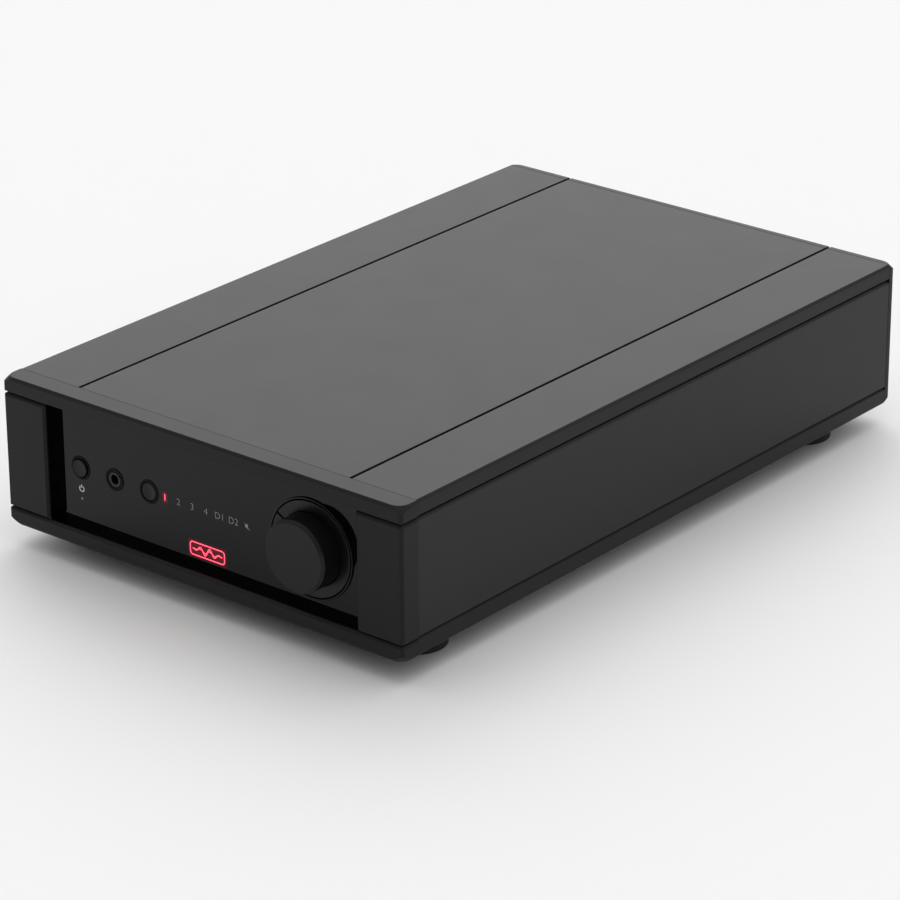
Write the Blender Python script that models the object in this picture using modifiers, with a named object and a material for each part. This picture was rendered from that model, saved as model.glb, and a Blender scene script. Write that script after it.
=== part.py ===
"""Compact audio amplifier with a built-in converter: case, front controls, boards and rear connectors.

Sizes below are millimetres. x runs to the right of the front, y to the back and z up;
z = 0 is the underside of the feet, and x = y = 0 is the middle of the footprint.
"""

import math

import bmesh
import bpy
from mathutils import Matrix

MM = 0.001

# ---------------------------------------------------------------- driving dimensions
CASE_WIDTH = 216.0
CASE_DEPTH = 340.3
CASE_HEIGHT = 66.85
FOOT_HEIGHT = 10.0
KNOB_PROUD = 5.2

HALF_X = CASE_WIDTH / 2
Z0 = FOOT_HEIGHT
Z_TOP = Z0 + CASE_HEIGHT
Y_FRONT = (KNOB_PROUD - CASE_DEPTH) / 2
Y_BACK = Y_FRONT + CASE_DEPTH

OUTLINE_RADIUS = 5.0
CORNER_CHAMFER = 1.2
TOP_CHAMFER = 1.0
BOTTOM_CHAMFER = 1.2
EDGE_CHAMFER = 1.05

FASCIA_DEPTH = 10.3
REAR_FRAME_DEPTH = 3.8
JOINT_GAP = 0.1
Y_JOINT = Y_FRONT + FASCIA_DEPTH
Y_REAR_JOINT = Y_BACK - REAR_FRAME_DEPTH
BODY_Y = (Y_JOINT + JOINT_GAP / 2, Y_REAR_JOINT - JOINT_GAP / 2)
BODY_X = HALF_X - 0.44

GROOVE_DEPTH = 1.4
GROOVE_HEIGHT = 1.1
TOP_GROOVE_X = 73.5
TOP_GROOVE_WIDTH = 1.3
TOP_GROOVE_DEPTH = 1.5

SKIN = 2.5
LID_INSIDE = Z_TOP - 3.5
BASE_TOP = Z0 + 7.8
TONGUE_X = BODY_X - SKIN - 0.15
INNER_X = TONGUE_X - SKIN

OPENING_X = 84.3
Z_FLOOR = Z0 + 7.5
Z_CEILING = Z0 + 60.3
PANEL_RECESS = 5.9
PANEL_THICKNESS = 2.5
TRAY_WALL = 1.0
Y_PANEL = Y_FRONT + PANEL_RECESS
Y_PANEL_BACK = Y_PANEL + PANEL_THICKNESS

CONTROL_Z = Z0 + 33.3
POWER_AT = (-70.1, CONTROL_Z)
PHONES_AT = (-50.7, CONTROL_Z)
SOURCE_AT = (-31.5, CONTROL_Z)
VOLUME_AT = (56.6, CONTROL_Z)
POWER_LIGHT_AT = (-70.1, Z0 + 19.4)
MARK_AT = (0.0, Z0 + 15.0)
MARK_SIZE = (19.5, 6.5)
LABEL_X0 = -22.7
LABEL_PITCH = 7.5
LABEL_COUNT = 7

BEZEL_RADIUS = 5.3
BEZEL_BORE = 4.2
BEZEL_NECK = 4.6
CAP_RADIUS = 3.95
KNOB_RADIUS = 15.6
SKIRT_RADIUS = 20.6
RING_INNER = 21.1
RING_OUTER = 21.7
SHAFT_RADIUS = 3.0
POINTER_ANGLE = 146.0

BOARD_THICKNESS = 1.6
BOARD_Y = (Y_PANEL + 10.5, Y_PANEL + 10.5 + BOARD_THICKNESS)
GUIDE_Y = (Y_PANEL_BACK + 0.1, BOARD_Y[0] - 0.1)
MAIN_Z = (Z0 + 9.0, Z0 + 9.0 + BOARD_THICKNESS)

REAR_RECESS = 14.0
REAR_Y = Y_BACK - REAR_RECESS
REAR_INSIDE = REAR_Y - 1.6
REAR_OPENING_X = 97.0
REAR_OPENING_Z = (Z0 + 7.0, Z0 + 59.0)

FOOT_RADIUS = 12.8
FOOT_X = 85.2
FOOT_Y = (Y_FRONT + 35.7, Y_BACK - 35.7)

# ---------------------------------------------------------------- scene and materials
for old in list(bpy.data.objects):
    bpy.data.objects.remove(old, do_unlink=True)

parts = bpy.data.collections.new("amplifier")
cutters = bpy.data.collections.new("cutters")
bpy.context.scene.collection.children.link(parts)
bpy.context.scene.collection.children.link(cutters)


def material(name, colour, roughness, metallic=0.0, alpha=1.0):
    made = bpy.data.materials.new(name)
    made.use_nodes = True
    shader = made.node_tree.nodes["Principled BSDF"]
    shader.inputs["Base Color"].default_value = (*colour, 1.0)
    shader.inputs["Roughness"].default_value = roughness
    shader.inputs["Metallic"].default_value = metallic
    shader.inputs["Alpha"].default_value = alpha
    return made


CASE = material("case", (0.045, 0.045, 0.047), 0.55)
GLOSS_BLACK = material("gloss_black", (0.010, 0.010, 0.011), 0.08)
KNOB = material("knob", (0.030, 0.030, 0.032), 0.45)
BEZEL = material("bezel", (0.020, 0.020, 0.022), 0.30, metallic=0.6)
RUBBER = material("rubber", (0.020, 0.020, 0.020), 0.85)
STEEL = material("steel", (0.55, 0.55, 0.56), 0.35, metallic=1.0)
BOARD = material("board", (0.020, 0.110, 0.050), 0.45)
COPPER_TAPE = material("copper_tape", (0.350, 0.130, 0.035), 0.50)
ALLOY = material("alloy", (0.62, 0.63, 0.65), 0.40, metallic=1.0)
GOLD = material("gold", (0.80, 0.58, 0.22), 0.28, metallic=1.0)
BLACK_PLASTIC = material("black_plastic", (0.025, 0.025, 0.026), 0.50)
CLEAR = material("clear", (0.75, 0.77, 0.80), 0.10, alpha=0.35)
REAR_PAINT = material("rear_paint", (0.035, 0.035, 0.037), 0.50)


# ---------------------------------------------------------------- modelling helpers
def place(name, mesh, finish, location=(0.0, 0.0, 0.0), rotation=(0.0, 0.0, 0.0)):
    """An object for this mesh at a place in millimetres. With no finish it is a cutting tool."""
    made = bpy.data.objects.new(name, mesh)
    made.location = [value * MM for value in location]
    made.rotation_euler = rotation
    if finish is None:
        cutters.objects.link(made)
        made.hide_render = True
        made.display_type = "WIRE"
    else:
        parts.objects.link(made)
        mesh.materials.append(finish)
    return made


def box(name, xs, ys, zs, finish=None, origin=None):
    """A cuboid between two limits on each axis, with its origin at its middle or at a given point."""
    middle = [(low + high) / 2 for low, high in (xs, ys, zs)]
    origin = middle if origin is None else origin
    sizes = [(high - low) * MM for low, high in (xs, ys, zs)]
    shift = [(m - o) * MM for m, o in zip(middle, origin)]
    shape = bmesh.new()
    matrix = Matrix.Translation(shift) @ Matrix.Diagonal((*sizes, 1.0))
    bmesh.ops.create_cube(shape, size=1.0, matrix=matrix)
    mesh = bpy.data.meshes.new(name)
    shape.to_mesh(mesh)
    shape.free()
    return place(name, mesh, finish, origin)


ALONG_Y = (-math.pi / 2, 0.0, 0.0)
ALONG_Z = (0.0, 0.0, 0.0)


def on_axis(centre, axis):
    """Where an axis through this point starts: (x, z) for an axis along y, (x, y) for one along z."""
    return (centre[0], 0.0, centre[1]) if axis == ALONG_Y else (centre[0], centre[1], 0.0)


def rod(name, radius, ends, centre, axis=ALONG_Y, finish=None, segments=16):
    """A plain cylinder between two heights on its axis."""
    shape = bmesh.new()
    bmesh.ops.create_cone(
        shape,
        cap_ends=True,
        segments=segments,
        radius1=radius * MM,
        radius2=radius * MM,
        depth=(ends[1] - ends[0]) * MM,
        matrix=Matrix.Translation((0.0, 0.0, (ends[0] + ends[1]) / 2 * MM)),
    )
    mesh = bpy.data.meshes.new(name)
    shape.to_mesh(mesh)
    shape.free()
    return place(name, mesh, finish, on_axis(centre, axis), axis)


def turned(name, profile, centre, axis=ALONG_Y, finish=None, segments=28):
    """A (radius, height) profile turned about an axis. A profile that stays off the axis is a ring."""
    closed = profile[0][0] > 0
    pairs = zip(profile, profile[1:] + profile[:1])
    area = sum(r0 * h1 - r1 * h0 for (r0, h0), (r1, h1) in pairs)
    ordered = profile if area < 0 else profile[::-1]
    count = len(ordered)
    edges = [(i, (i + 1) % count) for i in range(count if closed else count - 1)]
    mesh = bpy.data.meshes.new(name)
    mesh.from_pydata([(r * MM, 0.0, h * MM) for r, h in ordered], edges, [])
    made = place(name, mesh, finish, on_axis(centre, axis), axis)
    screw = made.modifiers.new("turn", "SCREW")
    screw.steps = segments
    screw.render_steps = segments
    screw.use_merge_vertices = True
    screw.merge_threshold = 0.00002
    screw.use_smooth_shade = True
    return made


def extruded(name, outline, ends, axis=ALONG_Y, finish=None):
    """A flat outline carried along an axis: (x, z) points along y, or (x, y) points along z."""
    curve = bpy.data.curves.new(name, "CURVE")
    curve.dimensions = "2D"
    curve.fill_mode = "BOTH"
    curve.extrude = (ends[1] - ends[0]) / 2 * MM
    spline = curve.splines.new("POLY")
    spline.points.add(len(outline) - 1)
    spline.use_cyclic_u = True
    upward = -1 if axis == ALONG_Y else 1
    for point, (across, up) in zip(spline.points, outline):
        point.co = (across * MM, upward * up * MM, 0.0, 1.0)
    drawn = bpy.data.objects.new(name + "_outline", curve)
    cutters.objects.link(drawn)
    bpy.context.view_layer.update()
    drawn_now = drawn.evaluated_get(bpy.context.evaluated_depsgraph_get())
    mesh = bpy.data.meshes.new_from_object(drawn_now)
    bpy.data.objects.remove(drawn, do_unlink=True)
    shape = bmesh.new()
    shape.from_mesh(mesh)
    bmesh.ops.remove_doubles(shape, verts=shape.verts, dist=1e-6)
    bmesh.ops.recalc_face_normals(shape, faces=shape.faces)
    shape.to_mesh(mesh)
    shape.free()
    mesh.materials.clear()
    middle = (ends[0] + ends[1]) / 2
    where = (0.0, middle, 0.0) if axis == ALONG_Y else (0.0, 0.0, middle)
    return place(name, mesh, finish, where, axis)


def skinned(name, rings, finish=None, closed=False):
    """Rings of equal length joined in order. The ends are capped, or joined to each other."""
    shape = bmesh.new()
    rows = [[shape.verts.new([value * MM for value in point]) for point in ring] for ring in rings]
    following = rows[1:] + rows[:1] if closed else rows[1:]
    for row, after in zip(rows, following):
        for i in range(len(row)):
            j = (i + 1) % len(row)
            shape.faces.new((row[i], row[j], after[j], after[i]))
    if not closed:
        shape.faces.new(rows[0])
        shape.faces.new(rows[-1])
    bmesh.ops.recalc_face_normals(shape, faces=shape.faces)
    mesh = bpy.data.meshes.new(name)
    shape.to_mesh(mesh)
    shape.free()
    return place(name, mesh, finish)


def combine(target, operation, tools):
    for tool in tools:
        step = target.modifiers.new(tool.name, "BOOLEAN")
        step.operation = operation
        step.solver = "EXACT"
        step.object = tool
    return target


def cut(target, *tools):
    return combine(target, "DIFFERENCE", tools)


def add(target, *tools):
    return combine(target, "UNION", tools)


def mirrored(half):
    """A half outline on the right, followed by its mirror image back up the left."""
    return half + [(-x, other) for x, other in reversed(half)]


# ---------------------------------------------------------------- case
def rounded_rectangle(grow, radius, steps=5):
    """The case's plan outline, moved outward by grow, with rounded corners."""
    half_x = HALF_X + grow - radius
    low, high = Y_FRONT - grow + radius, Y_BACK + grow - radius
    points = []
    for quarter, (x, y) in enumerate(((half_x, high), (-half_x, high), (-half_x, low), (half_x, low))):
        for i in range(steps + 1):
            angle = math.pi / 2 * (quarter + i / steps)
            points.append((x + radius * math.cos(angle), y + radius * math.sin(angle)))
    return points


def case_blank(name, plan):
    """The case's outside over this plan: square-cut corners under a rounded, sloping rim."""
    slope = 12.0
    levels = (
        (Z0, -BOTTOM_CHAMFER, OUTLINE_RADIUS),
        (Z0 + slope, slope - BOTTOM_CHAMFER, OUTLINE_RADIUS + slope),
        (Z_TOP - slope, slope - TOP_CHAMFER, OUTLINE_RADIUS + slope),
        (Z_TOP, -TOP_CHAMFER, OUTLINE_RADIUS),
    )
    rings = []
    for z, grow, radius in levels:
        rings.append([(x, y, z) for x, y in rounded_rectangle(grow, radius)])
    blank = skinned(name, rings, CASE)
    slab = extruded(name + "_plan", plan, (Z0 - 5, Z_TOP + 5), ALONG_Z)
    return combine(blank, "INTERSECT", [slab])


def band_cutter(name, profile):
    """An (outward, z) groove profile carried round the outside of the case."""
    rings = []
    for out, z in profile:
        x, low, high = HALF_X + out, Y_FRONT - out, Y_BACK + out
        rings.append([(x, low, z), (x, high, z), (-x, high, z), (-x, low, z)])
    return skinned(name, rings, closed=True)


def top_groove_cutter(side):
    x = side * TOP_GROOVE_X
    return box(
        f"top_groove_{side}",
        (x - TOP_GROOVE_WIDTH / 2, x + TOP_GROOVE_WIDTH / 2),
        (BODY_Y[0] - 0.001, Y_BACK + 5),
        (Z_TOP - TOP_GROOVE_DEPTH, Z_TOP + 5),
    )


def front_fascia():
    plan = mirrored(
        [
            (HALF_X, Y_JOINT - JOINT_GAP / 2),
            (HALF_X, Y_FRONT + CORNER_CHAMFER),
            (HALF_X - CORNER_CHAMFER, Y_FRONT),
        ]
    )
    fascia = case_blank("front_fascia", plan)
    grooves = (
        ("upper_groove", Z_CEILING, Z_CEILING - GROOVE_HEIGHT),
        ("lower_groove", Z_FLOOR + GROOVE_HEIGHT, Z_FLOOR),
    )
    for name, high, low in grooves:
        profile = [
            (1.0, high),
            (-GROOVE_DEPTH, high),
            (-GROOVE_DEPTH, low),
            (-EDGE_CHAMFER, low),
            (1.0, low - EDGE_CHAMFER - 1.0),
        ]
        cut(fascia, band_cutter(name, profile))
    mouth = []
    for depth, grow in ((-0.6, EDGE_CHAMFER + 0.6), (EDGE_CHAMFER, 0.0), (2.6, 0.0)):
        x, y, z = OPENING_X + grow, Y_FRONT + depth, Z_FLOOR - grow
        mouth.append([(-x, y, z), (x, y, z), (x, y, Z_CEILING), (-x, y, Z_CEILING)])
    seat = TRAY_WALL + 0.1
    seat_cutter = box(
        "panel_seat",
        (-OPENING_X - seat, OPENING_X + seat),
        (Y_FRONT + 2.0, Y_JOINT + 5),
        (Z_FLOOR - seat, Z_CEILING + seat),
    )
    cut(fascia, skinned("fascia_mouth", mouth), seat_cutter)


def front_panel():
    walls_x = OPENING_X + TRAY_WALL
    panel = box(
        "front_panel",
        (-walls_x, walls_x),
        (Y_FRONT + 2.1, Y_JOINT + 2.1),
        (Z_FLOOR - TRAY_WALL, Z_CEILING + TRAY_WALL),
        GLOSS_BLACK,
    )
    flange = box(
        "panel_flange",
        (-OPENING_X - 4, OPENING_X + 4),
        (Y_JOINT + 0.1, Y_JOINT + 2.1),
        (Z_FLOOR - 3, Z_CEILING + 2.6),
    )
    opening = (-OPENING_X, OPENING_X), (Z_FLOOR, Z_CEILING)
    front_well = box("front_well", opening[0], (Y_FRONT, Y_PANEL), opening[1])
    rear_well = box("rear_well", opening[0], (Y_PANEL_BACK, Y_JOINT + 5), opening[1])
    add(panel, flange)
    cut(panel, front_well, rear_well)
    through = (Y_PANEL - 1, Y_PANEL_BACK + 1)
    for name, centre in (("power", POWER_AT), ("phones", PHONES_AT), ("source", SOURCE_AT)):
        cut(panel, rod(name + "_hole", BEZEL_NECK + 0.1, through, centre, segments=24))
    cut(panel, rod("volume_hole", RING_OUTER + 0.1, through, VOLUME_AT, segments=52))


def top_cover():
    half = [
        (BODY_X - SKIN, LID_INSIDE),
        (BODY_X - SKIN, Z_CEILING),
        (BODY_X, Z_CEILING),
        (BODY_X, Z_TOP - TOP_CHAMFER),
        (BODY_X - TOP_CHAMFER, Z_TOP),
    ]
    cover = extruded("top_cover", mirrored(half), BODY_Y, finish=CASE)
    cut(cover, top_groove_cutter(-1), top_groove_cutter(1))


def base_plate():
    half = [
        (BODY_X - SKIN, Z0 + SKIN),
        (BODY_X - SKIN, BASE_TOP),
        (BODY_X - 0.8, BASE_TOP),
        (BODY_X, BASE_TOP - 0.8),
        (BODY_X, Z0 + BOTTOM_CHAMFER),
        (BODY_X - BOTTOM_CHAMFER, Z0),
    ]
    base = extruded("base_plate", mirrored(half), BODY_Y, finish=CASE)
    for i, centre in enumerate(((-90, -28), (90, -130), (90, 134), (-90, 134), (4, -130), (0, 40))):
        add(base, rod(f"standoff_{i}", 3.5, (Z0 + 1.5, MAIN_Z[0] - 0.1), centre, ALONG_Z))
    for i, centre in enumerate(foot_places()):
        cut(base, rod(f"foot_thread_{i}", 2.1, (Z0 - 2, Z0 + SKIN + 2), centre, ALONG_Z, segments=12))


def side_wall(name, side):
    low = Z_FLOOR + GROOVE_HEIGHT
    high = Z_CEILING - GROOVE_HEIGHT
    outline = [
        (TONGUE_X, Z0 + SKIN + 0.1),
        (TONGUE_X, low),
        (BODY_X, low),
        (BODY_X, high - EDGE_CHAMFER),
        (BODY_X - EDGE_CHAMFER, high),
        (TONGUE_X, high),
        (TONGUE_X, LID_INSIDE - 0.1),
        (INNER_X, LID_INSIDE - 0.1),
        (INNER_X, Z0 + SKIN + 0.1),
    ]
    extruded(name, [(side * x, z) for x, z in outline], BODY_Y, finish=CASE)


def rear_frame():
    plan = mirrored(
        [
            (BODY_X - CORNER_CHAMFER, Y_BACK),
            (BODY_X, Y_BACK - CORNER_CHAMFER),
            (BODY_X, Y_REAR_JOINT + JOINT_GAP / 2),
        ]
    )
    frame = case_blank("rear_frame", plan)
    opening = box(
        "rear_opening",
        (-REAR_OPENING_X, REAR_OPENING_X),
        (Y_REAR_JOINT - 5, Y_BACK + 5),
        REAR_OPENING_Z,
    )
    cut(frame, opening, bpy.data.objects["top_groove_-1"], bpy.data.objects["top_groove_1"])


# ---------------------------------------------------------------- volume control
def volume_control():
    front = Y_FRONT - KNOB_PROUD
    back = Y_PANEL + 0.9
    knob = [
        (0, front),
        (KNOB_RADIUS - 1.2, front),
        (KNOB_RADIUS - 0.1, front + 1.1),
        (KNOB_RADIUS, front + 1.4),
        (KNOB_RADIUS, back),
        (KNOB_RADIUS - 2.2, back),
        (KNOB_RADIUS - 2.2, front + 4.0),
        (6.0, front + 4.0),
        (6.0, back),
        (SHAFT_RADIUS + 0.05, back),
        (SHAFT_RADIUS + 0.05, front + 3.0),
        (0, front + 3.0),
    ]
    turned("volume_knob", knob, VOLUME_AT, finish=KNOB, segments=52)
    face = Y_PANEL - 1.0
    inner = KNOB_RADIUS + 0.1
    dish = [
        (SKIRT_RADIUS, face + 0.3),
        (SKIRT_RADIUS, Y_PANEL + 1.6),
        (inner, Y_PANEL + 1.6),
        (inner, face + 0.2),
        (inner + 1.1, face + 0.7),
        (inner + 2.7, face + 0.6),
        (SKIRT_RADIUS - 0.9, face),
        (SKIRT_RADIUS - 0.3, face),
    ]
    skirt = turned("knob_skirt", dish, VOLUME_AT, finish=KNOB, segments=52)
    pointer = box("pointer_groove", (16.3, 22.0), (face - 1.0, face + 1.0), (-0.5, 0.5), origin=(0, 0, 0))
    pointer.location = (VOLUME_AT[0] * MM, 0.0, VOLUME_AT[1] * MM)
    pointer.rotation_euler = (0.0, -math.radians(POINTER_ANGLE), 0.0)
    cut(skirt, pointer)
    ring = [
        (RING_INNER, Y_PANEL - 0.8),
        (RING_OUTER - 0.2, Y_PANEL - 0.8),
        (RING_OUTER, Y_PANEL - 0.6),
        (RING_OUTER, Y_PANEL_BACK + 0.1),
        (RING_OUTER + 2.0, Y_PANEL_BACK + 0.1),
        (RING_OUTER + 2.0, Y_PANEL_BACK + 1.1),
        (RING_INNER, Y_PANEL_BACK + 1.1),
    ]
    turned("knob_ring", ring, VOLUME_AT, finish=BEZEL, segments=52)


def potentiometer():
    x, z = VOLUME_AT
    shaft_end = BOARD_Y[1] + 8.0
    rod("pot_shaft", SHAFT_RADIUS, (Y_FRONT + 2.9, shaft_end), VOLUME_AT, finish=STEEL, segments=20)
    pot = box(
        "volume_pot",
        (x - 8.5, x + 8.5),
        (BOARD_Y[1] + 0.1, BOARD_Y[1] + 11.0),
        (z - 11.0, z + 8.5),
        ALLOY,
    )
    add(pot, rod("pot_bushing", 4.5, (BOARD_Y[0] - 4.6, BOARD_Y[1] + 0.2), VOLUME_AT, segments=20))
    cut(pot, rod("pot_bore", SHAFT_RADIUS + 0.1, (BOARD_Y[0] - 8, shaft_end + 0.2), VOLUME_AT, segments=20))
    nut = rod("pot_nut", 7.0, (BOARD_Y[0] - 2.5, BOARD_Y[0] - 0.1), VOLUME_AT, finish=STEEL, segments=6)
    cut(nut, rod("nut_bore", 4.65, (BOARD_Y[0] - 6, BOARD_Y[0] + 6), VOLUME_AT, segments=20))


# ---------------------------------------------------------------- buttons and headphone socket
def bezel(name, centre):
    profile = [
        (BEZEL_RADIUS - 0.15, Y_PANEL - 0.3),
        (BEZEL_RADIUS, Y_PANEL - 0.1),
        (BEZEL_NECK, Y_PANEL - 0.1),
        (BEZEL_NECK, Y_PANEL_BACK),
        (BEZEL_BORE, Y_PANEL_BACK),
        (BEZEL_BORE, Y_PANEL + 0.5),
        (BEZEL_BORE + 0.55, Y_PANEL - 0.15),
        (BEZEL_BORE + 0.7, Y_PANEL - 0.3),
    ]
    turned(name, profile, centre, finish=BEZEL)


def push_button(name, centre, proud, stem_radius, stem_end):
    face = Y_PANEL - proud
    profile = [
        (0, face + 0.25),
        (CAP_RADIUS - 1.2, face + 0.1),
        (CAP_RADIUS - 0.35, face),
        (CAP_RADIUS, face + 0.35),
        (CAP_RADIUS, Y_PANEL_BACK + 0.4),
        (stem_radius, Y_PANEL_BACK + 0.4),
        (stem_radius, stem_end),
        (0, stem_end),
    ]
    turned(name, profile, centre, finish=KNOB)


def switch(name, centre, half_size, depth):
    x, z = centre
    front = BOARD_Y[0] - 0.1 - depth
    spans = (x - half_size, x + half_size), (z - half_size, z + half_size)
    return box(name, spans[0], (front, BOARD_Y[0] - 0.1), spans[1], BLACK_PLASTIC)


def headphone_socket():
    face = Y_PANEL - 0.3
    profile = [
        (1.9, face + 0.5),
        (2.2, face + 0.2),
        (3.1, face + 0.1),
        (3.2, face + 0.4),
        (3.9, face + 0.4),
        (4.2, face),
        (4.75, face),
        (4.85, face + 0.2),
        (BEZEL_NECK, face + 0.2),
        (BEZEL_NECK, Y_PANEL_BACK + 0.6),
        (5.6, Y_PANEL_BACK + 0.6),
        (5.6, BOARD_Y[0] + 4.0),
        (0, BOARD_Y[0] + 4.0),
    ]
    socket = turned("headphone_socket", [(0, face + 0.5)] + profile, PHONES_AT, finish=BEZEL)
    cut(socket, rod("jack_bore", 1.9, (face - 2, BOARD_Y[0] + 3.0), PHONES_AT, segments=28))


def buttons():
    bezel("power_bezel", POWER_AT)
    bezel("source_bezel", SOURCE_AT)
    push_button("power_button", POWER_AT, 1.1, 1.9, BOARD_Y[0] - 3.6)
    push_button("source_button", SOURCE_AT, 0.35, 1.6, BOARD_Y[0] - 4.9)
    power_switch = switch("power_switch", POWER_AT, 4.5, 4.5)
    cut(power_switch, rod("plunger_bore", 2.2, (BOARD_Y[0] - 9, BOARD_Y[0] - 1.1), POWER_AT))
    switch("source_switch", SOURCE_AT, 3.0, 3.5)


# ---------------------------------------------------------------- lights and front board
def light_guides():
    x, z = MARK_AT
    half_x, half_z = MARK_SIZE[0] / 2 + 1, MARK_SIZE[1] / 2 + 1
    box("mark_light_guide", (x - half_x, x + half_x), GUIDE_Y, (z - half_z, z + half_z), CLEAR)
    last = LABEL_X0 + LABEL_PITCH * (LABEL_COUNT - 1)
    guide = box(
        "source_light_guide",
        (LABEL_X0 - 3, last + 3),
        GUIDE_Y,
        (CONTROL_Z - 3.4, CONTROL_Z + 2.6),
        CLEAR,
    )
    for i in range(LABEL_COUNT - 1):
        slit = LABEL_X0 + LABEL_PITCH * (i + 0.5)
        depth = (GUIDE_Y[0] - 1, GUIDE_Y[1] - 1.5)
        height = (CONTROL_Z - 6, CONTROL_Z + 6)
        cut(guide, box(f"label_slit_{i}", (slit - 0.6, slit + 0.6), depth, height))
    rod("power_light_guide", 1.5, GUIDE_Y, POWER_LIGHT_AT, finish=CLEAR, segments=12)


def front_board():
    board = box("front_board", (-86.0, 80.0), BOARD_Y, (Z0 + 8.0, Z0 + 52.0), BOARD)
    through = (BOARD_Y[0] - 3, BOARD_Y[1] + 3)
    cut(board, rod("bushing_clearance", 4.7, through, VOLUME_AT, segments=20))
    cut(board, rod("jack_clearance", 5.9, through, PHONES_AT, segments=20))


# ---------------------------------------------------------------- main board and power supply
def main_board():
    outline = [(-96, -34), (-4, -34), (-4, -138), (96, -138), (96, 140), (-96, 140)]
    extruded("main_board", outline, MAIN_Z, ALONG_Z, BOARD)


def transformer():
    centre = (-52.0, -88.0)
    low, high = Z0 + 4.2, Z0 + 40.0
    winding = [
        (14.0, low + 3.8),
        (17.0, low),
        (38.0, low),
        (42.0, low + 3.8),
        (42.0, high - 4.0),
        (38.0, high),
        (17.0, high),
        (14.0, high - 4.0),
    ]
    turned("power_transformer", winding, centre, ALONG_Z, COPPER_TAPE)
    clamp = [
        (0, Z0 + SKIN + 0.1),
        (11.0, Z0 + SKIN + 0.1),
        (11.0, Z0 + 4.0),
        (3.0, Z0 + 4.0),
        (3.0, high + 0.2),
        (24.0, high + 0.2),
        (24.0, high + 1.6),
        (6.0, high + 2.8),
        (6.0, high + 7.0),
        (0, high + 7.0),
    ]
    turned("transformer_clamp", clamp, centre, ALONG_Z, STEEL, segments=20)


def output_stage():
    x0, x1 = 62.0, 96.0
    y0, y1 = -110.0, 20.0
    low = MAIN_Z[1] + 0.1
    sink = box("heat_sink", (x0, x1), (y0, y1), (low, Z0 + 52.0), ALLOY)
    for i in range(5):
        gap = x0 + 7.2 + 5.4 * i
        cut(sink, box(f"fin_gap_{i}", (gap, gap + 3.0), (y0 - 1, y1 + 1), (Z0 + 16, Z0 + 60)))
    for i, y in enumerate((-72.0, -18.0)):
        span = (x0 - 5.0, x0 - 0.1)
        box(f"output_device_{i + 1}", span, (y - 10, y + 10), (Z0 + 18, Z0 + 44), BLACK_PLASTIC)
    top = Z0 + 50.0
    can = [(0, low), (12.5, low), (12.5, top - 0.8), (11.8, top), (10.8, top), (10.6, top - 0.4), (0, top - 0.4)]
    for i, x in enumerate((-34.0, -4.0)):
        turned(f"reservoir_capacitor_{i + 1}", can, (x, 0.0), ALONG_Z, BLACK_PLASTIC, segments=24)


# ---------------------------------------------------------------- rear connectors
INLET_AT = (-76.0, Z0 + 38.0)
LINE_X = (-38.0, -22.0, -6.0, 10.0)
LINE_Z = (Z0 + 24.0, Z0 + 42.0)
OPTICAL_AT = (27.0, Z0 + 33.0)
COAXIAL_AT = (44.0, Z0 + 33.0)
GROUND_AT = (-54.0, Z0 + 22.0)
SPEAKER_X = (64.0, 83.0)
SPEAKER_Z = (Z0 + 23.0, Z0 + 43.0)
REAR_CUT = (REAR_Y - 5, REAR_Y + 5)


def around(centre, left, right, down, up):
    """The x and z spans of a rectangle about a centre."""
    x, z = centre
    return (x - left, x + right), (z - down, z + up)


def mains_inlet(panel):
    flange_x, flange_z = around(INLET_AT, 15.0, 15.0, 21.5, 12.5)
    body_x, body_z = around(INLET_AT, 13.5, 13.5, 20.0, 10.5)
    inlet = box("mains_inlet", flange_x, (REAR_Y + 0.1, REAR_Y + 2.6), flange_z, BLACK_PLASTIC)
    add(inlet, box("inlet_body", body_x, (REAR_Y - 20, REAR_Y + 1), body_z))
    x, z = INLET_AT
    corners = ((-12.0, -8.0), (12.0, -8.0), (12.0, 3.5), (7.5, 8.0), (-7.5, 8.0), (-12.0, 3.5))
    outline = [(x + across, z + up) for across, up in corners]
    cut(inlet, extruded("inlet_cavity", outline, (REAR_Y - 14.5, REAR_Y + 5)))
    for i, (across, up) in enumerate(((-7.0, -2.0), (7.0, -2.0), (0.0, 2.0))):
        pin_x, pin_z = around((x + across, z + up), 1.0, 1.0, 2.0, 2.0)
        add(inlet, box(f"inlet_pin_{i}", pin_x, (REAR_Y - 15.5, REAR_Y + 0.5), pin_z))
    slot_x, slot_z = around(INLET_AT, 11.5, 11.5, 18.0, -11.0)
    cut(inlet, box("drawer_slot", slot_x, (REAR_Y - 18.5, REAR_Y + 5), slot_z))
    drawer_x, drawer_z = around(INLET_AT, 11.2, 11.2, 17.75, -11.25)
    drawer = box("fuse_drawer", drawer_x, (REAR_Y - 18, REAR_Y + 3.4), drawer_z, BLACK_PLASTIC)
    tray_x, tray_z = around(INLET_AT, 9.6, 9.6, 16.4, -8.0)
    cut(drawer, box("fuse_tray", tray_x, (REAR_Y - 16.4, REAR_Y - 1.5), tray_z))
    cutout_x, cutout_z = around(INLET_AT, 13.7, 13.7, 20.2, 10.7)
    cut(panel, box("inlet_cutout", cutout_x, REAR_CUT, cutout_z))


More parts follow.
